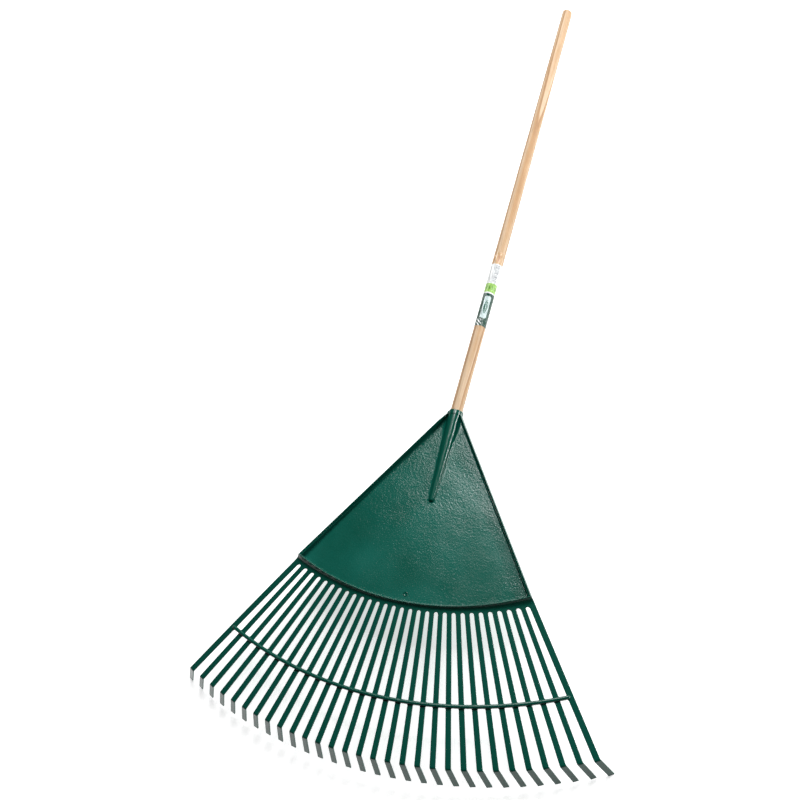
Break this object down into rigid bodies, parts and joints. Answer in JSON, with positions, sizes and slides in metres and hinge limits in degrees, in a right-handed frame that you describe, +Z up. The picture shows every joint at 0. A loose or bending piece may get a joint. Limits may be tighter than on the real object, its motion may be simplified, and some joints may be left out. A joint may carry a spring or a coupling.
{
  "type": "leaf rake",
  "caption": "Wide fan-shaped leaf rake with a tray-shaped plastic head, flat tines with bent tips, an arc crossbar and a round wooden handle in a tapered socket.",
  "frame": {"origin": "on the floor, under the middle of the rake's length and width, as it lies tines down on its outer tine tips and the end of its handle", "axes": "+X across the head, +Y along the rake towards the end of the handle, +Z up, away from the side that the tine tips bend to"},
  "size_m": [0.8218, 1.6542, 0.0874],
  "materials": {
    "head_plastic": "dark green moulded polypropylene, semi-gloss, embossed on the pan",
    "handle_wood": "pale straight-grained wood, sanded and lightly lacquered",
    "label_film": "printed plastic film",
    "screw_steel": "zinc-plated"
  },
  "bodies": {
    "root": {"handle_socket": "head_plastic", "pan_floor": "head_plastic", "left_flange": "head_plastic", "right_flange": "head_plastic", "end_lip": "head_plastic", "tine_base": "head_plastic", "crossbar": "head_plastic", "tine_01": "head_plastic", "tine_02": "head_plastic", "tine_03": "head_plastic", "tine_04": "head_plastic", "tine_05": "head_plastic", "tine_06": "head_plastic", "tine_07": "head_plastic", "tine_08": "head_plastic", "tine_09": "head_plastic", "tine_10": "head_plastic", "tine_11": "head_plastic", "tine_12": "head_plastic", "tine_13": "head_plastic", "tine_14": "head_plastic", "tine_15": "head_plastic", "tine_16": "head_plastic", "tine_17": "head_plastic", "tine_18": "head_plastic", "tine_19": "head_plastic", "tine_20": "head_plastic", "tine_21": "head_plastic", "tine_22": "head_plastic", "tine_23": "head_plastic", "tine_24": "head_plastic", "tine_25": "head_plastic", "tine_26": "head_plastic", "tine_27": "head_plastic", "tine_28": "head_plastic", "tine_29": "head_plastic", "tine_30": "head_plastic", "handle": "handle_wood", "handle_label": "label_film", "fixing_screw": "screw_steel"}
  },
  "joints": []
}
